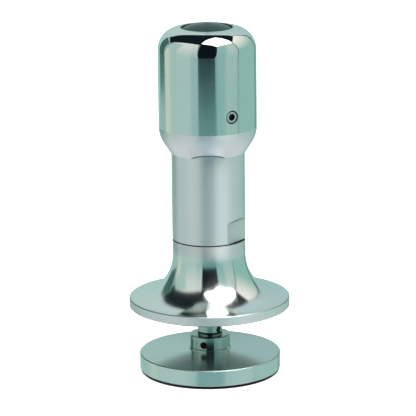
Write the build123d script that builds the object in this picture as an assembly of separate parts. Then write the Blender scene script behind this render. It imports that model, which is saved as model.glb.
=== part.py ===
from build123d import *
import math
import os

# Spring-loaded coffee tamper, in millimetres.
# The origin is at the centre of the underside, +Z runs up the axis and the front is -Y.
# An azimuth is measured from the front, growing towards +X.
# Threads are plain cylinders at their outer diameter.

# ---- Driving sizes: pressing foot ----
PAD_THICKNESS = 1.2
PAD_MARGIN = 0.4
BASE_RADIUS = 29.0
BASE_SIDE_HEIGHT = 6.7
BASE_CONE_RISE = 1.6
HUB_RADIUS = 8.3
HUB_HEIGHT = 6.0
HUB_FOOT_MARGIN = 0.4
HUB_FOOT_HEIGHT = 0.8
HUB_SPIGOT_LENGTH = 4.4
HUB_SPIGOT_WALL = 1.5
HUB_FLOOR = 3.5
HUB_SCREW_AZIMUTH = -18.5
HUB_SCREW_HEIGHT = 2.8
HUB_SCREW_INSET = 1.1
BASE_SCREW_HEAD_RADIUS = 5.0
BASE_SCREW_END_GAP = 0.3

# ---- Driving sizes: rod ----
ROD_RADIUS = 5.0
ROD_RING_RISE = 0.8
ROD_RING_WIDTH = 0.9
ROD_RING_DEPTH = 0.7
BAR_HOLE_RADIUS = 1.3
BAR_HOLE_RISE = 2.4
BAR_HOLE_AZIMUTH = 46.0
STROKE = 8.0
STROKE_MARGIN = 4.2

# ---- Driving sizes: bell ----
FLANGE_RADIUS = 33.0
FLANGE_THICKNESS = 4.0
BELL_COLLAR_HEIGHT = 7.0
SEAM_WIDTH = 0.4
SEAM_DEPTH = 0.6
JOINT_THREAD_LENGTH = 9.0
JOINT_THREAD_STEP = 1.1
BORE_RELIEF = 0.7
BUSH_WALL = 2.0
BUSH_LENGTH = 12.0
BUSH_FLANGE_WIDTH = 1.9
BUSH_FLANGE_THICKNESS = 1.5
WIPER_THICKNESS = 2.8
WIPER_INSET = 0.2

# ---- Driving sizes: barrel, stop and spring ----
BARREL_LENGTH = 70.6
BARREL_WALL = 4.6
HANDLE_THREAD_STEP = 1.0
FLAT_DEPTH = 1.4
FLAT_HEIGHT = 9.9
FLAT_AZIMUTH = 55.0
WASHER_WIDTH = 3.4
WASHER_THICKNESS = 1.0
CIRCLIP_WIDTH = 2.6
CIRCLIP_THICKNESS = 1.0
CIRCLIP_GROOVE_DEPTH = 0.3
CIRCLIP_GAP = 3.0
SEAT_THICKNESS = 3.0
SEAT_SPIGOT_WALL = 1.95
SEAT_SPIGOT_LENGTH = 4.0
SPRING_WIRE = 2.4
SPRING_TURNS = 8.0
SPRING_INNER_CLEARANCE = 0.3
SPRING_OUTER_CLEARANCE = 0.7
ROD_ABOVE_SEAT = 2.0
UPPER_SEAT_DEPTH = 9.1
BALL_RADIUS = 3.0
BALL_RISE = 1.5

# ---- Driving sizes: knob ----
KNOB_STEP = 5.0
KNOB_CYLINDER_HEIGHT = 31.5
KNOB_TOP_RADIUS = 9.0
KNOB_ROOF = 10.5
KNOB_END_GAP = 1.0
KNOB_PILOT_LENGTH = 9.4
TAPER_ANGLE = 33.0
TAPER_SHOULDER_RADIUS = 12.0
LIP_WALL = 0.35
NOTCH_HALF_ANGLE = 27.0
NOTCH_SLOPE = 38.0
ADJUST_TRAVEL = 3.0
STEM_RADIUS = 6.0
STEM_SPIGOT_RADIUS = 4.0
STEM_SPIGOT_LENGTH = 6.0
LOCK_SCREW_AZIMUTH = 29.5
LOCK_SCREW_RISE = 8.2
LOCK_SCREW_INSET = 0.45
LOCK_PAD_RADIUS = 2.0
LOCK_PAD_THICKNESS = 0.9
BADGE_RECESS_RADIUS = 10.35
BADGE_RECESS_DEPTH = 2.2
BADGE_EDGE_DROP = 0.4
BADGE_DOME = 2.0
BADGE_GAP = 0.45

# ---- Fasteners, clearances and small breaks ----
M3_RADIUS = 1.5
M3_KEY = 1.5
M5_RADIUS = 2.5
M5_KEY = 2.5
COUNTERSUNK_KEY = 3.0
KEY_DEPTH = 1.6
RUNNING = 0.05
SNUG = 0.03
END_GAP = 0.1
EDGE_BREAK = 0.3
FINE_BREAK = 0.15
SOFT_EDGE = 0.4
CUT_EXCESS = 5.0

# ---- Radii that follow from them ----
pad_radius = BASE_RADIUS - PAD_MARGIN
hub_foot_radius = HUB_RADIUS + HUB_FOOT_MARGIN
rod_bore_radius = ROD_RADIUS + RUNNING
hub_spigot_radius = ROD_RADIUS + SNUG + HUB_SPIGOT_WALL
bush_radius = rod_bore_radius + BUSH_WALL
bush_flange_radius = bush_radius + BUSH_FLANGE_WIDTH
washer_radius = rod_bore_radius + WASHER_WIDTH
seat_spigot_radius = rod_bore_radius + SEAT_SPIGOT_WALL
spring_mean_radius = seat_spigot_radius + SPRING_INNER_CLEARANCE + SPRING_WIRE / 2
barrel_bore_radius = spring_mean_radius + SPRING_WIRE / 2 + SPRING_OUTER_CLEARANCE
seat_radius = barrel_bore_radius - RUNNING
joint_thread_radius = barrel_bore_radius + JOINT_THREAD_STEP
neck_radius = barrel_bore_radius + BARREL_WALL
handle_thread_radius = neck_radius - HANDLE_THREAD_STEP
lip_bore_radius = neck_radius + RUNNING
lip_radius = lip_bore_radius + LIP_WALL
knob_radius = neck_radius + KNOB_STEP
badge_radius = BADGE_RECESS_RADIUS - BADGE_GAP

# ---- Heights that follow from them ----
base_side_top = PAD_THICKNESS + BASE_SIDE_HEIGHT
base_top = base_side_top + BASE_CONE_RISE
hub_top = base_top + HUB_HEIGHT
hub_spigot_bottom = base_top - HUB_SPIGOT_LENGTH
socket_floor = hub_spigot_bottom + HUB_FLOOR
rod_ring_bottom = hub_top + ROD_RING_RISE - ROD_RING_WIDTH / 2
flange_bottom = hub_top + STROKE + STROKE_MARGIN
flange_top = flange_bottom + FLANGE_THICKNESS
flare_radius = FLANGE_RADIUS - EDGE_BREAK - neck_radius
seam_top = flange_top + flare_radius + BELL_COLLAR_HEIGHT
joint_top = seam_top + JOINT_THREAD_LENGTH
barrel_top = seam_top + BARREL_LENGTH
wiper_bottom = flange_bottom + WIPER_INSET
lower_bush_bottom = wiper_bottom + WIPER_THICKNESS
upper_bush_bottom = joint_top - BUSH_LENGTH
bush_flange_top = joint_top + BUSH_FLANGE_THICKNESS
stop_top = bush_flange_top + WASHER_THICKNESS
circlip_top = stop_top + CIRCLIP_THICKNESS
thrust_washer_top = circlip_top + WASHER_THICKNESS
lower_seat_top = thrust_washer_top + SEAT_THICKNESS
rod_top = lower_seat_top + SEAT_SPIGOT_LENGTH + ROD_ABOVE_SEAT
upper_seat_top = barrel_top - UPPER_SEAT_DEPTH
spring_top = upper_seat_top - SEAT_THICKNESS
ball_height = upper_seat_top + BALL_RISE
stem_bottom = ball_height + BALL_RISE
knob_ceiling = barrel_top + ADJUST_TRAVEL + KNOB_END_GAP
badge_floor = knob_ceiling + KNOB_ROOF
knob_top = badge_floor + BADGE_RECESS_DEPTH
knob_cylinder_top = knob_top - KNOB_TOP_RADIUS
knob_cylinder_bottom = knob_cylinder_top - KNOB_CYLINDER_HEIGHT
taper_arc_end = TAPER_SHOULDER_RADIUS * math.sin(math.radians(TAPER_ANGLE))
taper_arc_inset = TAPER_SHOULDER_RADIUS * (1 - math.cos(math.radians(TAPER_ANGLE)))
taper_run = KNOB_STEP - RUNNING - LIP_WALL - taper_arc_inset
taper_height = taper_run / math.tan(math.radians(TAPER_ANGLE))
lip_height = knob_cylinder_bottom - taper_arc_end - taper_height
pilot_top = lip_height + KNOB_PILOT_LENGTH
barrel_shoulder = pilot_top - ADJUST_TRAVEL - END_GAP
lock_screw_height = pilot_top + LOCK_SCREW_RISE


# ---- Shaping helpers ----
def turned(*edges):
    """Turns a closed outline of (radius, height) edges about the Z axis."""
    return revolve(Plane.XZ * make_face(list(edges)), Axis.Z)


def turned_polygon(*points):
    return turned(*Polyline(*points, close=True).edges())


def ring(inner, outer, bottom, top, edge=FINE_BREAK):
    """A washer or sleeve with its outer corners broken."""
    return turned_polygon(
        (inner, bottom),
        (outer - edge, bottom),
        (outer, bottom + edge),
        (outer, top - edge),
        (outer - edge, top),
        (inner, top),
    )


def rod_between(radius, bottom, top):
    return Pos(0, 0, bottom) * Cylinder(
        radius, top - bottom, align=(Align.CENTER, Align.CENTER, Align.MIN)
    )


def radial_plane(azimuth, height, distance=0.0):
    """A plane facing outwards at an azimuth, on the axis or a distance from it."""
    outwards = Vector(
        math.sin(math.radians(azimuth)), -math.cos(math.radians(azimuth)), 0
    )
    return Plane(
        origin=outwards * distance + Vector(0, 0, height),
        x_dir=(math.cos(math.radians(azimuth)), math.sin(math.radians(azimuth)), 0),
        z_dir=outwards,
    )


def grub_screw(radius, key, length, azimuth, height, inner):
    """A socket set screw lying along a radius, with its cup point inwards."""
    body = Cylinder(radius, length, align=(Align.CENTER, Align.CENTER, Align.MIN))
    body = chamfer(body.edges(), FINE_BREAK)
    socket = extrude(
        Plane.XY.offset(length) * RegularPolygon(key / 2, 6, major_radius=False),
        -KEY_DEPTH,
    )
    return radial_plane(azimuth, height, inner) * (body - socket)


def save(part, name):
    part.label = name
    export_step(part, f"parts/{name}.step")


# ---- Pressing foot ----
def make_face_pad():
    return turned_polygon(
        (0, 0),
        (pad_radius - SOFT_EDGE, 0),
        (pad_radius, SOFT_EDGE),
        (pad_radius, PAD_THICKNESS),
        (0, PAD_THICKNESS),
    )


def make_base_disc():
    """Disc with a shallow conical top, a pocket for the hub and a countersunk hole."""
    pocket_radius = hub_spigot_radius + SNUG
    pocket_floor = hub_spigot_bottom - END_GAP
    hole_radius = M5_RADIUS + END_GAP
    sink_radius = BASE_SCREW_HEAD_RADIUS + END_GAP
    return turned_polygon(
        (sink_radius, PAD_THICKNESS),
        (BASE_RADIUS - EDGE_BREAK, PAD_THICKNESS),
        (BASE_RADIUS, PAD_THICKNESS + EDGE_BREAK),
        (BASE_RADIUS, base_side_top - EDGE_BREAK),
        (BASE_RADIUS - EDGE_BREAK, base_side_top),
        (hub_foot_radius + EDGE_BREAK, base_top),
        (pocket_radius, base_top),
        (pocket_radius, pocket_floor),
        (hole_radius, pocket_floor),
        (hole_radius, PAD_THICKNESS + sink_radius - hole_radius),
    )


def make_base_hub():
    """Collar that holds the rod: a foot lip, a spigot below and a socket above."""
    socket_radius = ROD_RADIUS + SNUG
    body = turned_polygon(
        (M5_RADIUS + SNUG, hub_spigot_bottom),
        (hub_spigot_radius, hub_spigot_bottom),
        (hub_spigot_radius, base_top),
        (hub_foot_radius, base_top),
        (hub_foot_radius, base_top + HUB_FOOT_HEIGHT - EDGE_BREAK),
        (hub_foot_radius - EDGE_BREAK, base_top + HUB_FOOT_HEIGHT),
        (HUB_RADIUS, base_top + HUB_FOOT_HEIGHT),
        (HUB_RADIUS, hub_top - EDGE_BREAK),
        (HUB_RADIUS - EDGE_BREAK, hub_top),
        (socket_radius + EDGE_BREAK, hub_top),
        (socket_radius, hub_top - EDGE_BREAK),
        (socket_radius, socket_floor),
        (M5_RADIUS + SNUG, socket_floor),
    )
    screw_hole = radial_plane(HUB_SCREW_AZIMUTH, base_top + HUB_SCREW_HEIGHT) * Cylinder(
        M3_RADIUS + SNUG,
        hub_foot_radius + CUT_EXCESS,
        align=(Align.CENTER, Align.CENTER, Align.MIN),
    )
    return body - screw_hole


def make_base_screw():
    """Countersunk socket screw that clamps the hub to the disc from beneath."""
    bottom = PAD_THICKNESS + END_GAP
    top = socket_floor - BASE_SCREW_END_GAP
    body = turned_polygon(
        (0, bottom),
        (BASE_SCREW_HEAD_RADIUS, bottom),
        (M5_RADIUS, bottom + BASE_SCREW_HEAD_RADIUS - M5_RADIUS),
        (M5_RADIUS, top - EDGE_BREAK),
        (M5_RADIUS - EDGE_BREAK, top),
        (0, top),
    )
    socket = extrude(
        Plane.XY.offset(bottom)
        * RegularPolygon(COUNTERSUNK_KEY / 2, 6, major_radius=False),
        KEY_DEPTH,
    )
    return body - socket


def make_hub_set_screw():
    length = HUB_RADIUS - HUB_SCREW_INSET - rod_bore_radius
    return grub_screw(
        M3_RADIUS,
        M3_KEY,
        length,
        HUB_SCREW_AZIMUTH,
        base_top + HUB_SCREW_HEIGHT,
        rod_bore_radius,
    )


# ---- Rod ----
def make_rod():
    """Plunger rod with a ring groove, a tommy-bar cross hole and a circlip groove."""
    ring_root = ROD_RADIUS - ROD_RING_DEPTH
    clip_root = ROD_RADIUS - CIRCLIP_GROOVE_DEPTH
    body = turned_polygon(
        (0, socket_floor + END_GAP),
        (ROD_RADIUS - EDGE_BREAK, socket_floor + END_GAP),
        (ROD_RADIUS, socket_floor + END_GAP + EDGE_BREAK),
        (ROD_RADIUS, rod_ring_bottom),
        (ring_root, rod_ring_bottom),
        (ring_root, rod_ring_bottom + ROD_RING_WIDTH),
        (ROD_RADIUS, rod_ring_bottom + ROD_RING_WIDTH),
        (ROD_RADIUS, stop_top),
        (clip_root, stop_top),
        (clip_root, circlip_top),
        (ROD_RADIUS, circlip_top),
        (ROD_RADIUS, rod_top - EDGE_BREAK),
        (ROD_RADIUS - EDGE_BREAK, rod_top),
        (0, rod_top),
    )
    bar_hole = radial_plane(BAR_HOLE_AZIMUTH, hub_top + BAR_HOLE_RISE) * Cylinder(
        BAR_HOLE_RADIUS, 2 * (ROD_RADIUS + CUT_EXCESS)
    )
    return body - bar_hole


def make_rod_ring():
    """Black rubber marker ring that fills the groove just above the hub."""
    inner = ROD_RADIUS - ROD_RING_DEPTH + SNUG
    bottom = rod_ring_bottom + SNUG
    top = rod_ring_bottom + ROD_RING_WIDTH - SNUG
    return ring(inner, ROD_RADIUS - RUNNING, bottom, top, edge=2 * FINE_BREAK)


def make_rod_circlip():
    """External circlip: it carries the spring seat and stops the rod falling out."""
    body = ring(
        ROD_RADIUS - CIRCLIP_GROOVE_DEPTH + SNUG,
        ROD_RADIUS + CIRCLIP_WIDTH,
        stop_top + SNUG,
        circlip_top - SNUG,
    )
    mouth = Pos(0, ROD_RADIUS + CIRCLIP_WIDTH, stop_top) * Box(
        CIRCLIP_GAP, 2 * CIRCLIP_WIDTH + ROD_RADIUS, 2 * CUT_EXCESS
    )
    return body - mouth


# ---- Bell and what it holds ----
def make_bell():
    """Flange, trumpet flare and collar in one turned piece, bored for both bushes."""
    pocket = bush_radius + SNUG
    relief = rod_bore_radius + BORE_RELIEF
    flare_centre = (FLANGE_RADIUS - EDGE_BREAK, flange_top + flare_radius)
    lower_shoulder = lower_bush_bottom + BUSH_LENGTH
    outside = Polyline(
        (pocket, flange_bottom),
        (FLANGE_RADIUS - EDGE_BREAK, flange_bottom),
        (FLANGE_RADIUS, flange_bottom + EDGE_BREAK),
        (FLANGE_RADIUS, flange_top - EDGE_BREAK),
        (FLANGE_RADIUS - EDGE_BREAK, flange_top),
    )
    flare = CenterArc(flare_centre, flare_radius, 180, 90)
    inside = Polyline(
        (neck_radius, flange_top + flare_radius),
        (neck_radius, seam_top - SEAM_WIDTH),
        (neck_radius - SEAM_DEPTH, seam_top - SEAM_WIDTH),
        (neck_radius - SEAM_DEPTH, seam_top),
        (joint_thread_radius - SNUG, seam_top),
        (joint_thread_radius - SNUG, joint_top - EDGE_BREAK),
        (joint_thread_radius - SNUG - EDGE_BREAK, joint_top),
        (pocket, joint_top),
        (pocket, upper_bush_bottom),
        (relief, upper_bush_bottom),
        (relief, lower_shoulder),
        (pocket, lower_shoulder),
        (pocket, flange_bottom),
    )
    return turned(*outside.edges(), *flare.edges(), *inside.edges())


def make_wiper_ring():
    top = wiper_bottom + WIPER_THICKNESS - SNUG
    return ring(rod_bore_radius, bush_radius, wiper_bottom, top)


def make_lower_bush():
    top = lower_bush_bottom + BUSH_LENGTH - SNUG
    return ring(rod_bore_radius, bush_radius, lower_bush_bottom, top)


def make_upper_bush():
    """Flanged bush whose flange takes the blow when the spring throws the rod home."""
    return turned_polygon(
        (rod_bore_radius, upper_bush_bottom + SNUG),
        (bush_radius, upper_bush_bottom + SNUG),
        (bush_radius, joint_top),
        (bush_flange_radius, joint_top),
        (bush_flange_radius, bush_flange_top),
        (rod_bore_radius, bush_flange_top),
    )


def make_stop_washer():
    return ring(rod_bore_radius, washer_radius, bush_flange_top, stop_top)


def flat_cutter():
    """A block that cuts one wrench flat and slopes out of the barrel at 45 degrees at its top."""
    block = Box(
        2 * neck_radius,
        2 * FLAT_HEIGHT,
        CUT_EXCESS,
        align=(Align.CENTER, Align.CENTER, Align.MIN),
    )
    above = Box(
        2 * neck_radius,
        FLAT_HEIGHT,
        2 * FLAT_HEIGHT,
        align=(Align.CENTER, Align.MIN, Align.CENTER),
    )
    return block - Pos(0, FLAT_HEIGHT - FLAT_DEPTH, 0) * Rot(-45, 0, 0) * above


def make_barrel():
    """Tube screwed to the bell, with two wrench flats and a thread for the knob."""
    body = turned_polygon(
        (joint_thread_radius, seam_top),
        (neck_radius - FINE_BREAK, seam_top),
        (neck_radius, seam_top + FINE_BREAK),
        (neck_radius, barrel_shoulder - EDGE_BREAK),
        (neck_radius - EDGE_BREAK, barrel_shoulder),
        (handle_thread_radius, barrel_shoulder),
        (handle_thread_radius, barrel_top - EDGE_BREAK),
        (handle_thread_radius - EDGE_BREAK, barrel_top),
        (barrel_bore_radius, barrel_top),
        (barrel_bore_radius, joint_top + END_GAP),
        (joint_thread_radius, joint_top + END_GAP),
    )
    for azimuth in (FLAT_AZIMUTH, FLAT_AZIMUTH + 180):
        face = radial_plane(azimuth, seam_top, neck_radius - FLAT_DEPTH)
        body -= face * flat_cutter()
    return body


# ---- Spring pack ----
def make_thrust_washer():
    return ring(rod_bore_radius, washer_radius, circlip_top, thrust_washer_top)


def make_lower_seat():
    spigot_top = lower_seat_top + SEAT_SPIGOT_LENGTH
    return turned_polygon(
        (rod_bore_radius, thrust_washer_top),
        (seat_radius, thrust_washer_top),
        (seat_radius, lower_seat_top),
        (seat_spigot_radius, lower_seat_top),
        (seat_spigot_radius, spigot_top - EDGE_BREAK),
        (seat_spigot_radius - EDGE_BREAK, spigot_top),
        (rod_bore_radius, spigot_top),
    )


def make_main_spring():
    wire_radius = SPRING_WIRE / 2
    height = spring_top - lower_seat_top - SPRING_WIRE - 2 * END_GAP
    centre_line = Helix(height / SPRING_TURNS, height, spring_mean_radius)
    section = Plane(origin=centre_line @ 0, z_dir=centre_line % 0) * Circle(wire_radius)
    wire = sweep(section, path=centre_line, is_frenet=True)
    return Pos(0, 0, lower_seat_top + wire_radius + END_GAP) * wire


def ball_dimple():
    """A cone that touches the ball all round, its point 1.41 radii from the centre."""
    depth = BALL_RADIUS * math.sqrt(2) + SNUG
    return Cone(0, depth, depth, align=(Align.CENTER, Align.CENTER, Align.MIN)), depth


def make_upper_seat():
    body = turned_polygon(
        (0, spring_top - SEAT_SPIGOT_LENGTH),
        (seat_spigot_radius - EDGE_BREAK, spring_top - SEAT_SPIGOT_LENGTH),
        (seat_spigot_radius, spring_top - SEAT_SPIGOT_LENGTH + EDGE_BREAK),
        (seat_spigot_radius, spring_top),
        (seat_radius, spring_top),
        (seat_radius, upper_seat_top),
        (0, upper_seat_top),
    )
    dimple, depth = ball_dimple()
    return body - Pos(0, 0, ball_height - depth) * dimple


def make_thrust_ball():
    return Pos(0, 0, ball_height) * Sphere(BALL_RADIUS)


# ---- Knob ----
def make_thrust_stem():
    """Steel stem pressed into the knob's roof, bearing on the ball below."""
    body = turned_polygon(
        (0, stem_bottom),
        (STEM_RADIUS - EDGE_BREAK, stem_bottom),
        (STEM_RADIUS, stem_bottom + EDGE_BREAK),
        (STEM_RADIUS, knob_ceiling),
        (STEM_SPIGOT_RADIUS, knob_ceiling),
        (STEM_SPIGOT_RADIUS, knob_ceiling + STEM_SPIGOT_LENGTH - EDGE_BREAK),
        (STEM_SPIGOT_RADIUS - EDGE_BREAK, knob_ceiling + STEM_SPIGOT_LENGTH),
        (0, knob_ceiling + STEM_SPIGOT_LENGTH),
    )
    dimple, depth = ball_dimple()
    return body - Pos(0, 0, ball_height + depth) * Rot(180, 0, 0) * dimple


def knob_blank():
    """The knob as it leaves the lathe."""
    shoulder_radius = knob_radius - TAPER_SHOULDER_RADIUS
    corner_radius = knob_radius - KNOB_TOP_RADIUS
    spigot_hole = STEM_SPIGOT_RADIUS + SNUG
    spigot_end = knob_ceiling + STEM_SPIGOT_LENGTH + END_GAP
    thread_bore = handle_thread_radius + RUNNING
    taper = Line(
        (lip_radius, lip_height), (lip_radius + taper_run, lip_height + taper_height)
    )
    shoulder = CenterArc(
        (shoulder_radius, knob_cylinder_bottom),
        TAPER_SHOULDER_RADIUS,
        -TAPER_ANGLE,
        TAPER_ANGLE,
    )
    side = Line((knob_radius, knob_cylinder_bottom), (knob_radius, knob_cylinder_top))
    corner = CenterArc((corner_radius, knob_cylinder_top), KNOB_TOP_RADIUS, 0, 90)
    inside = Polyline(
        (corner_radius, knob_top),
        (BADGE_RECESS_RADIUS + FINE_BREAK, knob_top),
        (BADGE_RECESS_RADIUS, knob_top - FINE_BREAK),
        (BADGE_RECESS_RADIUS, badge_floor),
        (0, badge_floor),
        (0, spigot_end),
        (spigot_hole, spigot_end),
        (spigot_hole, knob_ceiling),
        (thread_bore, knob_ceiling),
        (thread_bore, pilot_top),
        (lip_bore_radius, pilot_top),
        (lip_bore_radius, lip_height),
        (lip_radius, lip_height),
    )
    outline = (taper, shoulder, side, corner, inside)
    return turned(*(edge for piece in outline for edge in piece.edges()))


def index_notch():
    """A block whose upper face slopes up and outwards through the lip at the front."""
    start = -lip_radius * math.cos(math.radians(NOTCH_HALF_ANGLE))
    block = Box(
        2 * knob_radius,
        2 * knob_radius,
        knob_radius,
        align=(Align.CENTER, Align.MAX, Align.MAX),
    )
    return Pos(0, start, lip_height) * Rot(-NOTCH_SLOPE, 0, 0) * block


def make_knob():
    axis_plane = radial_plane(LOCK_SCREW_AZIMUTH, lock_screw_height)
    screw_hole = axis_plane * Cylinder(
        M5_RADIUS + SNUG,
        knob_radius + CUT_EXCESS,
        align=(Align.CENTER, Align.CENTER, Align.MIN),
    )
    mouth_radius = M5_RADIUS + EDGE_BREAK + SNUG
    mouth = radial_plane(
        LOCK_SCREW_AZIMUTH, lock_screw_height, knob_radius - 2 * EDGE_BREAK
    ) * Cone(
        mouth_radius - 2 * EDGE_BREAK,
        mouth_radius + EDGE_BREAK,
        3 * EDGE_BREAK,
        align=(Align.CENTER, Align.CENTER, Align.MIN),
    )
    return knob_blank() - index_notch() - screw_hole - mouth


def make_badge():
    """Domed disc bonded into the recess on top of the knob."""
    edge_height = knob_top - BADGE_EDGE_DROP
    apex = edge_height + BADGE_DOME
    sphere_radius = (badge_radius**2 + BADGE_DOME**2) / (2 * BADGE_DOME)
    half_angle = math.degrees(math.asin(badge_radius / sphere_radius))
    dome = CenterArc((0, apex - sphere_radius), sphere_radius, 90 - half_angle, half_angle)
    rest = Polyline(
        (0, apex), (0, badge_floor), (badge_radius, badge_floor), (badge_radius, edge_height)
    )
    return turned(*dome.edges(), *rest.edges())


def make_lock_screw():
    inner = handle_thread_radius + RUNNING + LOCK_PAD_THICKNESS
    length = knob_radius - LOCK_SCREW_INSET - inner
    return grub_screw(
        M5_RADIUS, M5_KEY, length, LOCK_SCREW_AZIMUTH, lock_screw_height, inner
    )


def make_lock_pad():
    """Soft brass slug between the lock screw and the barrel's thread."""
    place = radial_plane(
        LOCK_SCREW_AZIMUTH, lock_screw_height, handle_thread_radius + RUNNING
    )
    slug = Cylinder(
        LOCK_PAD_RADIUS,
        LOCK_PAD_THICKNESS,
        align=(Align.CENTER, Align.CENTER, Align.MIN),
    )
    return place * slug


NODES = {
    "face_pad": make_face_pad,
    "base_disc": make_base_disc,
    "base_hub": make_base_hub,
    "base_screw": make_base_screw,
    "hub_set_screw": make_hub_set_screw,
    "rod": make_rod,
    "rod_ring": make_rod_ring,
    "rod_circlip": make_rod_circlip,
    "bell": make_bell,
    "wiper_ring": make_wiper_ring,
    "lower_bush": make_lower_bush,
    "upper_bush": make_upper_bush,
    "stop_washer": make_stop_washer,
    "barrel": make_barrel,
    "thrust_washer": make_thrust_washer,
    "lower_seat": make_lower_seat,
    "main_spring": make_main_spring,
    "upper_seat": make_upper_seat,
    "thrust_ball": make_thrust_ball,
    "thrust_stem": make_thrust_stem,
    "knob": make_knob,
    "badge": make_badge,
    "lock_screw": make_lock_screw,
    "lock_pad": make_lock_pad,
}

os.makedirs("parts", exist_ok=True)
for node_name, make in NODES.items():
    save(make(), node_name)
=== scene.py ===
# Looks of the spring-loaded coffee tamper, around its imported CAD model. Metres; the floor is z = 0.
# An azimuth is measured from the front (-Y), growing towards +X, and an elevation from the horizon.

import math

import bpy
from mathutils import Matrix, Vector


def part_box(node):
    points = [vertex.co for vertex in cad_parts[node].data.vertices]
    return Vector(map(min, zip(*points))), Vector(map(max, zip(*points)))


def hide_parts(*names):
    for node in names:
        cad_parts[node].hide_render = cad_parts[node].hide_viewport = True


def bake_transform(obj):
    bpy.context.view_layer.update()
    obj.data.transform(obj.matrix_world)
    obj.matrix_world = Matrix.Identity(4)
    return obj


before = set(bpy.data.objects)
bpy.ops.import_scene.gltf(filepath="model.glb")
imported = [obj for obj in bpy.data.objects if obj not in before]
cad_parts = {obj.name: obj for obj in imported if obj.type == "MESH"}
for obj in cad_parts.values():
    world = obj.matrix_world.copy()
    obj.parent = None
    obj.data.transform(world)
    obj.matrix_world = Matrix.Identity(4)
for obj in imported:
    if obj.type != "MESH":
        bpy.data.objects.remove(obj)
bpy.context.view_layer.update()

MM = 0.001

# ---- The part's own sizes and places, as its CAD source has them ----
LOCK_SCREW_AZIMUTH = 29.5
WRENCH_FLAT_AZIMUTH = 55
NOTCH_SLOPE = 38
KNOB_CORNER = 9 * MM
KNOB_TURNED_LENGTH = 31.5 * MM
BELL_COLLAR_HEIGHT = 7 * MM

# ---- How far the smaller finish and painted-shade zones reach: just past the shape that each belongs to ----
BADGE_RECESS_MARGIN = 0.6 * MM
SCREW_HOLE_REACH = 3.4 * MM
SCREW_END_REACH = 0.1 * MM
FLAT_REACH = 10 * MM
SEAM_REACH = 0.5 * MM
SEAM_INSET = 0.2 * MM
SIDE_REACH = 0.1 * MM
EDGE_REACH = 0.4 * MM

# ---- Limits of the zones, worked out from the frame ----
knob_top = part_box("knob")[1].z
bell_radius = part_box("bell")[1].x
base_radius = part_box("base_disc")[1].x
badge_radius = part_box("badge")[1].x
barrel_low, barrel_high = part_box("barrel")
barrel_bottom = barrel_low.z
barrel_radius = barrel_high.x
spring_low, spring_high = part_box("main_spring")
screw_low, screw_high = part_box("lock_screw")
screw_height = (screw_low.z + screw_high.z) / 2
knob_corner_bottom = knob_top - KNOB_CORNER
knob_turned_bottom = knob_corner_bottom - KNOB_TURNED_LENGTH
collar_bottom = barrel_bottom - BELL_COLLAR_HEIGHT


# ---- Colours ----
def linear(*channels):
    """An sRGB colour given from 0 to 255, as linear light."""
    values = [c / 255 for c in channels]
    return tuple(v / 12.92 if v <= 0.04045 else ((v + 0.055) / 1.055) ** 2.4 for v in values)


def shade(colour, share):
    """The colour, lighter or darker: times a share, and never brighter than white."""
    return tuple(min(1.0, share * c) for c in colour)


STEEL = (0.80, 0.84, 0.825)
# Painted shade: darker steels for the base's top, and for the hub and the rod under the bell.
BASE_TOP_SHADE_STEEL = (0.61, 0.70, 0.68)
HUB_SHADE_STEEL = (0.48, 0.58, 0.55)
PALE_STEEL = (0.87, 0.87, 0.87)
FLAT_STEEL = (0.92, 0.91, 0.92)
# Painted shade under the bell's flange.
UNDERSIDE_SHADE_STEEL = (0.16, 0.20, 0.18)
# Painted shade: darker steel for the edge breaks and the wrench flats' run-outs.
EDGE_SHADE_STEEL = (0.30, 0.36, 0.34)
# Painted highlight and shade for the knob's notch: near white at its outer part, dark at its inner part.
NOTCH_HIGHLIGHT_STEEL = (0.95, 0.95, 0.93)
SHADED_STEEL = (0.18, 0.24, 0.22)
# Painted shade: near black steel for the insides of the knob's recess, hole and screw socket, and the screw's
# outer edge.
PAINTED_SHADE_STEEL = (0.08, 0.09, 0.09)
RING_STEEL = (0.78, 0.83, 0.82)
PLAIN_STEEL = (0.6, 0.62, 0.61)
BALL_STEEL = (0.75, 0.76, 0.77)
SPRING_STEEL = (0.45, 0.46, 0.47)
BLACKENED_STEEL = (0.03, 0.03, 0.035)
SEAM_SHADOW = (0.02, 0.025, 0.025)
BRONZE = (0.62, 0.42, 0.22)
BRASS = (0.78, 0.6, 0.3)
NYLON = (0.8, 0.79, 0.72)
BLACK_RUBBER = (0.012, 0.012, 0.014)
BLACK_POLYMER = (0.004, 0.004, 0.005)
BADGE_GREEN = linear(36, 62, 60)
BLACK = (0.0, 0.0, 0.0)
WHITE = (1.0, 1.0, 1.0)


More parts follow.
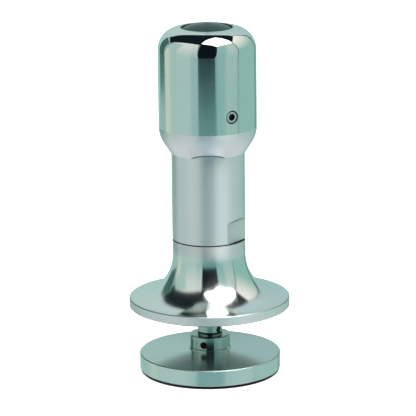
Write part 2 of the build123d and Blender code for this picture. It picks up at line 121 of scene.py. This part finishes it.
# ---- Node helpers ----
class Graph:
    """Short calls for building one node tree."""

    def __init__(self, tree):
        self.tree = tree
        tree.nodes.clear()

    def add(self, kind, inputs=None, **settings):
        node = self.tree.nodes.new(kind)
        for key, value in settings.items():
            setattr(node, key, value)
        for key, value in (inputs or {}).items():
            self.feed(node.inputs[key], value)
        return node

    def feed(self, socket, value):
        if isinstance(value, bpy.types.NodeSocket):
            self.tree.links.new(value, socket)
        elif hasattr(socket.default_value, "__len__") and len(value) == 3 and len(socket.default_value) == 4:
            socket.default_value = (*value, 1)
        else:
            socket.default_value = value

    def math(self, operation, a, b=0.0, c=0.0, clamp=False):
        return self.add("ShaderNodeMath", {0: a, 1: b, 2: c}, operation=operation, use_clamp=clamp).outputs[0]

    def ramp(self, value, low, high, to_low=0.0, to_high=1.0, smooth=True):
        """value's place between low and high, eased, as a number from to_low to to_high."""
        inputs = {"Value": value, "From Min": low, "From Max": high, "To Min": to_low, "To Max": to_high}
        easing = "SMOOTHSTEP" if smooth else "LINEAR"
        return self.add("ShaderNodeMapRange", inputs, interpolation_type=easing).outputs["Result"]

    def mix(self, share, a, b):
        """A colour that goes from a to b as share goes from 0 to 1."""
        node = self.add("ShaderNodeMix", data_type="RGBA")
        self.feed(node.inputs["Factor"], share)
        self.feed(node.inputs[6], a)
        self.feed(node.inputs[7], b)
        return node.outputs[2]

    def vector_math(self, operation, a, b=None):
        """The vector that the operation gives, or the number where it gives one."""
        inputs = {0: a} if b is None else {0: a, 1: b}
        node = self.add("ShaderNodeVectorMath", inputs, operation=operation)
        return node.outputs["Value" if operation in ("DOT_PRODUCT", "LENGTH") else "Vector"]

    def noise(self, vector, scale, detail=2.0, roughness=0.5):
        inputs = {"Vector": vector, "Scale": scale, "Detail": detail, "Roughness": roughness}
        return self.add("ShaderNodeTexNoise", inputs).outputs["Fac"]

    def vary(self, pattern, amount, middle):
        """middle, made to go up and down by amount with a pattern that runs from 0 to 1."""
        return self.math("MULTIPLY_ADD", self.math("SUBTRACT", pattern, 0.5), amount, middle, clamp=True)

    def bump(self, height, strength, distance):
        inputs = {"Height": height, "Strength": strength, "Distance": distance}
        return self.add("ShaderNodeBump", inputs).outputs[0]

    def place(self):
        """Where a point of the surface is, in metres."""
        return self.add("ShaderNodeTexCoord").outputs["Object"]

    def surface(self, inputs):
        """The material's one shader, joined to its output."""
        shader = self.add("ShaderNodeBsdfPrincipled", inputs)
        self.add("ShaderNodeOutputMaterial", {"Surface": shader.outputs[0]})
        return shader


# ---- Studio: a tent of pale walls, a softbox and black gaps, seen only in reflections ----
STEEL_REFLECTANCE = 0.82


def seen(*channels):
    """The radiance of a card that looks this colour in polished steel."""
    return tuple(c / STEEL_REFLECTANCE for c in linear(*channels))


def direction(azimuth, elevation):
    across, up = math.radians(azimuth), math.radians(elevation)
    return Vector((math.sin(across) * math.cos(up), -math.cos(across) * math.cos(up), math.sin(up)))


screw_axis = direction(LOCK_SCREW_AZIMUTH, 0)


def card(corners, low, high, soft, levels=(-15, 50)):
    """A flat card, as far away as the sky.

    Its corners are (azimuth, elevation), low and high are its colours at the lower and the upper of two
    levels, and soft is how many degrees its edges fade over on either side.
    """
    return {"corners": corners, "low": low, "high": high, "soft": soft, "levels": levels}


GAP_BLACK = seen(16, 25, 32)
SOFTBOX_WHITE = tuple(7.5 * c for c in (1.0, 0.99, 0.98))
FAR_WALL = seen(150, 182, 176)
FOOT = -18
CARDS = (
    # back wall, in halves
    card(
        [(-143, FOOT), (-142, 37), (-180, 54), (-180, FOOT)],
        low=seen(150, 185, 180), high=seen(190, 203, 202), soft=1.6,
    ),
    card(
        [(180, FOOT), (180, 54), (143, 50), (151, FOOT)],
        low=seen(140, 175, 172), high=seen(180, 198, 200), soft=1.6,
    ),
    # the wall behind the dark side card, between the back and the left wall
    card([(-117, FOOT), (-113, 28), (-142, 30), (-142, FOOT)], low=FAR_WALL, high=FAR_WALL, soft=1.5),
    # left wall, darker at its near end and greener at its far end, where it has a warm strip
    card(
        [(-20.5, FOOT), (-27.6, 57), (-106, 37), (-118, FOOT)],
        low=seen(158, 185, 181), high=seen(212, 214, 208), soft=1.0,
    ),
    card(
        [(-20.5, FOOT), (-27.6, 57), (-44, 55), (-38, FOOT)],
        low=seen(138, 172, 171), high=seen(204, 208, 203), soft=5.0,
    ),
    card(
        [(-75, FOOT), (-75, 45), (-106, 37), (-118, FOOT)],
        low=seen(160, 187, 177), high=seen(164, 188, 182), soft=5.0,
    ),
    card(
        [(-97, FOOT), (-97, 13), (-112, 9), (-115, FOOT)],
        low=seen(186, 196, 184), high=seen(196, 202, 190), soft=1.0,
    ),
    # right wall, greener towards the camera, and the brighter one beside it
    card(
        [(75, FOOT), (84, 47), (31, 49), (19, FOOT)],
        low=seen(127, 168, 165), high=seen(150, 181, 174), soft=1.0,
    ),
    card(
        [(75, FOOT), (84, 47), (60, 50), (40, FOOT)],
        low=seen(149, 181, 173), high=seen(184, 198, 192), soft=6.0,
    ),
    card(
        [(146, FOOT), (141.5, 49), (88, 48), (76.5, FOOT)],
        low=seen(137, 178, 168), high=seen(238, 231, 224), soft=0.8, levels=(12, 48),
    ),
    # softbox overhead
    card(
        [(84, 48), (146, 73.5), (-20.8, 65.4), (31, 48.7)],
        low=SOFTBOX_WHITE, high=SOFTBOX_WHITE, soft=2.5,
    ),
)


def inside_card(graph, ray, corners, soft):
    """1 where a ray meets the card and 0 outside it, eased over its edges."""
    points = [direction(*corner) for corner in corners]
    middle = sum(points, Vector())
    share = 1.0
    for start, end in zip(points, points[1:] + points[:1]):
        side = start.cross(end).normalized()
        side *= math.copysign(1, side.dot(middle))
        depth = graph.vector_math("DOT_PRODUCT", ray, side)
        reach = math.sin(math.radians(soft))
        share = graph.math("MULTIPLY", share, graph.ramp(depth, -reach, reach))
    return share


def table_colour(graph, azimuth, elevation):
    """The white table top: greener in front of the object and brighter right under it."""
    aside = graph.ramp(graph.math("ABSOLUTE", azimuth), 18.0, 32.0)
    far = graph.mix(aside, seen(104, 152, 148), seen(150, 184, 178))
    near = graph.mix(aside, seen(200, 222, 232), seen(216, 217, 224))
    return graph.mix(graph.ramp(elevation, -42.0, -18.0), near, far)


def light_studio():
    """The world: cards and table for reflections and light, and plain white for the camera."""
    world = bpy.data.worlds.new("studio")
    bpy.context.scene.world = world
    world.use_nodes = True
    graph = Graph(world.node_tree)
    ray = graph.add("ShaderNodeTexCoord").outputs["Generated"]
    axes = graph.add("ShaderNodeSeparateXYZ", {"Vector": ray})
    turn = graph.math("ARCTAN2", axes.outputs["X"], graph.math("MULTIPLY", axes.outputs["Y"], -1.0))
    azimuth = graph.math("MULTIPLY", turn, math.degrees(1))
    elevation = graph.math("MULTIPLY", graph.math("ARCSINE", axes.outputs["Z"]), math.degrees(1))
    colour = GAP_BLACK
    for item in CARDS:
        own = graph.mix(graph.ramp(elevation, *item["levels"], smooth=False), item["low"], item["high"])
        colour = graph.mix(inside_card(graph, ray, item["corners"], item["soft"]), colour, own)
    in_front = graph.ramp(graph.math("ABSOLUTE", azimuth), 18.0, 26.0, 0.0, -16.0)
    horizon = graph.math("SUBTRACT", elevation, in_front)
    colour = graph.mix(graph.ramp(horizon, -3.0, 0.0), table_colour(graph, azimuth, elevation), colour)
    room = graph.add("ShaderNodeBackground", {"Color": colour, "Strength": 1.0})
    backdrop = graph.add("ShaderNodeBackground", {"Color": WHITE, "Strength": 1.05})
    camera_ray = graph.add("ShaderNodeLightPath").outputs["Is Camera Ray"]
    shown = graph.add("ShaderNodeMixShader", {0: camera_ray, 1: room.outputs[0], 2: backdrop.outputs[0]})
    graph.add("ShaderNodeOutputWorld", {"Surface": shown.outputs[0]})


def make_sheet(name, corners, colour, glow, seen_by_camera, reflected):
    """A flat card or table top, which isn't part of the object."""
    mesh = bpy.data.meshes.new(name)
    mesh.from_pydata(corners, [], [(0, 1, 2, 3)])
    sheet = bpy.data.objects.new(name, mesh)
    bpy.context.collection.objects.link(sheet)
    sheet.visible_camera = seen_by_camera
    sheet.visible_glossy = reflected
    material, graph = new_material(name)
    graph.surface(
        {
            "Base Color": colour,
            "Roughness": 0.9,
            "Specular IOR Level": 0.0,
            "Emission Color": glow,
            "Emission Strength": 1.0,
        }
    )
    mesh.materials.append(material)


def make_dark_card(name, left, right, low, high, glow):
    """An upright dark card between two (x, y) points, seen only in reflections."""
    corners = [(*left, low), (*right, low), (*right, high), (*left, high)]
    make_sheet(name, corners, BLACK, glow, False, True)


def make_dark_cards():
    """Cards near enough to the object that their bottom edges end lower in the knob than in the bell."""
    gap_over_table = 0.033
    make_dark_card("front_card", (-0.153, -0.41), (0.132, -0.41), gap_over_table, 0.80, seen(12, 20, 27))
    make_dark_card("side_card", (-0.393, 0.185), (-0.278, 0.325), gap_over_table, 0.35, seen(60, 98, 90))


def make_floor():
    """A plain white table top, left out of reflections, which show the studio's own table instead."""
    half, drop = 3.0, -0.05 * MM
    corners = [(-half, -half, drop), (half, -half, drop), (half, half, drop), (-half, half, drop)]
    make_sheet("floor", corners, shade(WHITE, 0.9), shade(WHITE, 0.8), True, False)


CAMERA_LENS = 240.63
CAMERA_TILT = 14.19
CAMERA_ROLL = -0.608
CAMERA_PLACE = (-0.00026, -1.1021, 0.3473)


def place_camera():
    """A long lens in front of the object, tilted down towards it and rolled by a little, in degrees."""
    camera_data = bpy.data.cameras.new("camera")
    camera = bpy.data.objects.new("camera", camera_data)
    bpy.context.collection.objects.link(camera)
    camera_data.sensor_width = 36
    camera_data.lens = CAMERA_LENS
    camera_data.clip_start = 0.1
    camera_data.clip_end = 20
    tilt = Matrix.Rotation(math.radians(90 - CAMERA_TILT), 4, "X")
    roll = Matrix.Rotation(math.radians(CAMERA_ROLL), 4, "Z")
    camera.matrix_world = Matrix.Translation(CAMERA_PLACE) @ tilt @ roll
    bpy.context.scene.camera = camera


# ---- Materials ----
def new_material(name):
    material = bpy.data.materials.new(name)
    material.use_nodes = True
    return material, Graph(material.node_tree)


def change(start, stop, roughness, colour, outwards=False):
    """Where a steel changes, going up or outwards from the axis, and what it changes to."""
    return {"span": (start, stop), "roughness": roughness, "colour": colour, "outwards": outwards}


def lathe_steel(name, colour, roughness, spread=0.0, groove=0.12 * MM, depth=0.4, wear=0.03, into=None):
    """Turned steel: fine rings round the axis, and patches of slightly duller and tinted metal.

    spread is how far the rings scatter light across themselves, groove and depth are the rings' pitch and
    strength, wear is how much the roughness varies, and into is a change of finish and colour, which at the
    knob's notch carries painted shade and a painted highlight.
    """
    material, graph = new_material(name)
    place = graph.place()
    axes = graph.add("ShaderNodeSeparateXYZ", {"Vector": place})
    flat = graph.add("ShaderNodeCombineXYZ", {"X": axes.outputs["X"], "Y": axes.outputs["Y"]})
    radius = graph.vector_math("LENGTH", flat.outputs[0])
    section = graph.add("ShaderNodeCombineXYZ", {"X": radius, "Y": axes.outputs["Z"]}).outputs[0]
    rings = graph.noise(section, 1 / groove, detail=1.0)
    patches = graph.noise(place, 90.0, detail=3.0, roughness=0.6)
    tint = graph.mix(patches, shade(colour, 0.97), shade(colour, 1.03))
    if into:
        along = radius if into["outwards"] else axes.outputs["Z"]
        roughness = graph.ramp(along, *into["span"], roughness, into["roughness"])
        tint = graph.mix(graph.ramp(along, *into["span"]), tint, into["colour"])
    dull = graph.vary(rings, wear, graph.vary(patches, wear, roughness))
    surface = graph.surface(
        {
            "Base Color": tint,
            "Metallic": 1.0,
            "Roughness": dull,
            "Anisotropic": spread,
            "Anisotropic Rotation": 0.25,
            "Normal": graph.bump(rings, depth, 0.002 * MM),
        }
    )
    if spread:
        tangent = graph.add("ShaderNodeTangent", direction_type="RADIAL", axis="Z")
        graph.feed(surface.inputs["Tangent"], tangent.outputs[0])
    return material


def plain_material(name, colour, roughness, metallic=0.0, depth=0.2, shine=0.5):
    """A fine-grained material with patches of lighter and darker colour."""
    material, graph = new_material(name)
    place = graph.place()
    grain = graph.noise(place, 1 / (0.4 * MM), detail=3.0, roughness=0.6)
    patches = graph.noise(place, 120.0, detail=2.0)
    graph.surface(
        {
            "Base Color": graph.mix(patches, shade(colour, 0.85), shade(colour, 1.15)),
            "Metallic": metallic,
            "Roughness": graph.vary(grain, 0.2, roughness),
            "Specular IOR Level": shine,
            "Normal": graph.bump(grain, depth, 0.02 * MM),
        }
    )
    return material


def plain_metal(name, colour, roughness):
    return plain_material(name, colour, roughness, metallic=1.0)


# Painted shade on the screw's end: where the dark round the socket fades out, and where the dark at the outer
# edge fades in.
SOCKET_SHADE_FADE = (1.35 * MM, 1.6 * MM)
EDGE_SHADE_FADE = (2.0 * MM, 2.2 * MM)


def screw_end_material():
    """Steel with painted shade: darker towards the screw's rolled outer edge and round its socket."""
    material, graph = new_material("screw_end")
    place = graph.place()
    offset = graph.vector_math("SUBTRACT", place, (0.0, 0.0, screw_height))
    aside = graph.vector_math("LENGTH", graph.vector_math("CROSS_PRODUCT", offset, screw_axis))
    past_socket = graph.ramp(aside, *SOCKET_SHADE_FADE)
    before_edge = graph.ramp(aside, *EDGE_SHADE_FADE, 1.0, 0.0)
    grain = graph.noise(place, 1 / (0.2 * MM), detail=3.0)
    graph.surface(
        {
            "Base Color": graph.mix(graph.math("MULTIPLY", past_socket, before_edge), PAINTED_SHADE_STEEL, RING_STEEL),
            "Metallic": 1.0,
            "Roughness": graph.math("MULTIPLY_ADD", grain, 0.2, 0.2),
        }
    )
    return material


# ---- Finish and painted-shade zones on the CAD's own meshes ----
class Spot:
    """Where a face lies and which way it looks."""

    def __init__(self, face):
        self.middle = face.center
        self.normal = face.normal
        self.height = face.center.z
        self.radius = math.hypot(face.center.x, face.center.y)

    def looks(self, way, agreement):
        return self.normal.dot(way) > agreement


def paint_zones(node, zones, rest):
    """Gives each face of a CAD node the first material whose test it passes, or else the rest's."""
    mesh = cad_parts[node].data
    mesh.materials.clear()
    for material, _ in zones:
        mesh.materials.append(material)
    mesh.materials.append(rest)
    for face in mesh.polygons:
        spot = Spot(face)
        passed = (index for index, (_, test) in enumerate(zones) if test(spot))
        face.material_index = next(passed, len(zones))


def paint(material, *nodes):
    for node in nodes:
        paint_zones(node, [], material)


def from_screw(spot):
    """How far a face lies out along the lock screw's axis, and how far from that axis."""
    offset = spot.middle - Vector((0, 0, screw_height))
    out = offset.dot(screw_axis)
    return out, (offset - out * screw_axis).length


def in_screw_hole(spot):
    out, aside = from_screw(spot)
    return out > 0 and aside < SCREW_HOLE_REACH and abs(spot.normal.dot(screw_axis)) < 0.96


def in_badge_recess(spot):
    below_top = knob_top - 0.01 * MM
    return spot.radius < badge_radius + BADGE_RECESS_MARGIN and spot.height < below_top


def in_notch(spot):
    """The notch is the one flat cut at the knob's front that looks down and forwards."""
    return spot.looks(direction(0, NOTCH_SLOPE - 90), 0.9999)


def flat_ways(elevation):
    """Outwards from the two wrench flats."""
    return [direction(azimuth, elevation) for azimuth in (WRENCH_FLAT_AZIMUTH, WRENCH_FLAT_AZIMUTH + 180)]


def on_wrench_flat(spot):
    near_seam = spot.height < barrel_bottom + FLAT_REACH
    return near_seam and any(spot.looks(way, 0.995) for way in flat_ways(0))


def on_run_out(spot):
    """The slope at the top of each wrench flat."""
    return any(spot.looks(way, 0.999) for way in flat_ways(-45))


def on_top_edge(spot, side_radius):
    """The edge break between a disc's top and its side."""
    return spot.radius > side_radius - EDGE_REACH and 0.4 < spot.normal.z < 0.95


def in_seam(spot):
    return spot.height > barrel_bottom - SEAM_REACH and spot.radius < barrel_radius - SEAM_INSET


def finish_knob():
    """A polished top corner, turned side, satin taper, holes painted dark as shade, and a polished notch with
    painted shade and highlight.
    """
    mirror = lathe_steel("knob_mirror", STEEL, 0.02, depth=0.02, wear=0.01)
    turned = lathe_steel("knob_turned", STEEL, 0.11, spread=0.95, groove=0.35 * MM, wear=0.06)
    satin = lathe_steel("knob_satin", PALE_STEEL, 0.45, spread=0.85)
    # Painted shade and highlight: the notch is dark near the barrel, for the shade of the gap under the
    # knob's lip, and near white further out, for a highlight on its outer edge.
    shadow_start = barrel_radius + 0.8 * MM
    shadow_end = barrel_radius + 1.2 * MM
    shade_to_highlight = change(shadow_start, shadow_end, 0.06, NOTCH_HIGHLIGHT_STEEL, outwards=True)
    notch = lathe_steel("knob_notch_shade_and_highlight", SHADED_STEEL, 0.06, depth=0.05, into=shade_to_highlight)
    # Painted shade: the badge recess and the lock screw's hole are near black steel, for the shade inside
    # them.
    hole = plain_metal("knob_hole_shade", PAINTED_SHADE_STEEL, 0.5)
    zones = [
        (hole, in_badge_recess),
        (mirror, lambda spot: spot.height > knob_corner_bottom),
        (notch, in_notch),
        (hole, in_screw_hole),
        (turned, lambda spot: spot.height > knob_turned_bottom),
    ]
    paint_zones("knob", zones, satin)


def finish_bell():
    """A polished flare that dulls into a satin collar, a satin rim, and an edge break and underside painted
    dark as shade.
    """
    dulling = change(collar_bottom - 2 * MM, collar_bottom + 4 * MM, 0.48, PALE_STEEL)
    flare = lathe_steel("bell_flare", STEEL, 0.14, spread=0.9, depth=0.1, wear=0.02, into=dulling)
    rim = lathe_steel("bell_rim", PALE_STEEL, 0.5, spread=0.6)
    # Painted shade: the edge break between the flange's top and its rim is darker steel, and the underside
    # nearly black, for the shade under the flange.
    edge = lathe_steel("bell_edge_shade", EDGE_SHADE_STEEL, 0.4)
    under = lathe_steel("bell_underside_shade", UNDERSIDE_SHADE_STEEL, 0.3, spread=0.5)
    groove = plain_material("seam_shadow", SEAM_SHADOW, 0.6, metallic=0.5)
    zones = [
        (rim, lambda spot: spot.radius > bell_radius - SIDE_REACH),
        (edge, lambda spot: on_top_edge(spot, bell_radius)),
        (under, lambda spot: spot.normal.z < -0.9),
        (groove, in_seam),
    ]
    paint_zones("bell", zones, flare)


def finish_barrel():
    satin = lathe_steel("barrel_satin", PALE_STEEL, 0.44, spread=0.8)
    flat = lathe_steel("barrel_flat", FLAT_STEEL, 0.55, spread=0.9)
    # Painted shade: the slope at the top of each wrench flat is darker steel, for the shade under the flat's
    # ledge.
    run_out = plain_metal("barrel_run_out_shade", EDGE_SHADE_STEEL, 0.4)
    paint_zones("barrel", [(flat, on_wrench_flat), (run_out, on_run_out)], satin)


def finish_foot():
    """The pressing base with its hub, rod, set screw and pad; its top, edge break, hub and rod are painted
    darker as the shade under the bell.
    """
    # Painted shade: the top is darker, greener steel than the side, and the edge break is darker still.
    top = lathe_steel("base_top_shade", BASE_TOP_SHADE_STEEL, 0.2, spread=0.8)
    side = lathe_steel("base_side", STEEL, 0.2, spread=0.9)
    edge = lathe_steel("base_edge_shade", EDGE_SHADE_STEEL, 0.4)
    zones = [
        (top, lambda spot: spot.normal.z > 0.9),
        (edge, lambda spot: on_top_edge(spot, base_radius)),
    ]
    paint_zones("base_disc", zones, side)
    # Painted shade: the hub and rod are darker steel, for the shade under the bell.
    paint(lathe_steel("hub_turned_shade", HUB_SHADE_STEEL, 0.14, spread=0.8), "base_hub")
    paint(lathe_steel("rod_polished_shade", HUB_SHADE_STEEL, 0.16, spread=0.7), "rod")
    paint(plain_material("black_oxide", BLACKENED_STEEL, 0.4, metallic=0.6), "hub_set_screw")
    paint(plain_material("black_polymer", BLACK_POLYMER, 0.5, shine=0.15), "face_pad")


def finish_lock_screw():
    """A bright ring face round a hexagon socket, with the socket and the rest of the screw painted dark as
    shade.
    """
    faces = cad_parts["lock_screw"].data.polygons
    end = max(from_screw(Spot(face))[0] for face in faces)
    zones = [(screw_end_material(), lambda spot: from_screw(spot)[0] > end - SCREW_END_REACH)]
    paint_zones("lock_screw", zones, plain_metal("screw_socket_shade", PAINTED_SHADE_STEEL, 0.5))


def finish_badge():
    paint(plain_material("badge_enamel", BADGE_GREEN, 0.2, depth=0.05, shine=0.12), "badge")


def finish_inside():
    """The parts that show only when the tamper is taken apart."""
    paint(plain_material("black_rubber", BLACK_RUBBER, 0.5), "rod_ring", "wiper_ring")
    plain = plain_metal("plain_steel", PLAIN_STEEL, 0.35)
    paint(plain, "base_screw", "lower_seat", "upper_seat", "thrust_stem")
    paint(plain_metal("bronze", BRONZE, 0.4), "lower_bush", "upper_bush", "thrust_washer")
    paint(plain_metal("brass", BRASS, 0.35), "lock_pad")
    paint(plain_material("nylon", NYLON, 0.45), "stop_washer")
    paint(plain_metal("ball_steel", BALL_STEEL, 0.06), "thrust_ball")
    spring = plain_metal("spring_steel", SPRING_STEEL, 0.3)
    paint(spring, "rod_circlip")
    make_spring(spring)


# ---- The main spring ----
SPRING_WIRE = 2.4 * MM
SPRING_TURNS = 8
SPRING_SPLIT = 6
STEPS_PER_TURN = 48
STEPS_ROUND_WIRE = 16


def spring_coil(name, first_turn, last_turn, material):
    """Part of the coil spring's wire, closed at both ends."""
    wire = SPRING_WIRE / 2
    coil = spring_high.x - wire
    low, high = spring_low.z + wire, spring_high.z - wire
    steps = (last_turn - first_turn) * STEPS_PER_TURN
    points, faces = [], []
    for step in range(steps + 1):
        turn = first_turn + step / STEPS_PER_TURN
        angle = 2 * math.pi * turn
        height = low + (high - low) * turn / SPRING_TURNS
        for place in range(STEPS_ROUND_WIRE):
            round_wire = 2 * math.pi * place / STEPS_ROUND_WIRE
            radius = coil + wire * math.cos(round_wire)
            rise = wire * math.sin(round_wire)
            points.append((radius * math.cos(angle), radius * math.sin(angle), height + rise))
    for step in range(steps):
        for place in range(STEPS_ROUND_WIRE):
            beside = (place + 1) % STEPS_ROUND_WIRE
            here = step * STEPS_ROUND_WIRE
            there = here + STEPS_ROUND_WIRE
            faces.append((here + place, there + place, there + beside, here + beside))
    faces.append(tuple(range(STEPS_ROUND_WIRE)))
    faces.append(tuple(reversed(range(len(points) - STEPS_ROUND_WIRE, len(points)))))
    mesh = bpy.data.meshes.new(name)
    mesh.from_pydata(points, [], faces)
    mesh.polygons.foreach_set("use_smooth", [len(face) == 4 for face in faces])
    mesh.materials.append(material)
    piece = bpy.data.objects.new(name, mesh)
    bpy.context.collection.objects.link(piece)
    return piece


def make_spring(material):
    """The main spring in two pieces, its lower turns and its upper turns, in place of the CAD's own spring,
    which is hidden.
    """
    lower = spring_coil("spring_lower_turns", 0, SPRING_SPLIT, material)
    upper = spring_coil("spring_upper_turns", SPRING_SPLIT, SPRING_TURNS, material)
    for piece in (lower, upper):
        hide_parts("main_spring")
    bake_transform(lower)
    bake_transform(upper)


bpy.context.scene.view_settings.view_transform = "Standard"
bpy.context.scene.view_settings.look = "None"
light_studio()
make_dark_cards()
make_floor()
place_camera()
finish_knob()
finish_bell()
finish_barrel()
finish_foot()
finish_lock_screw()
finish_badge()
finish_inside()
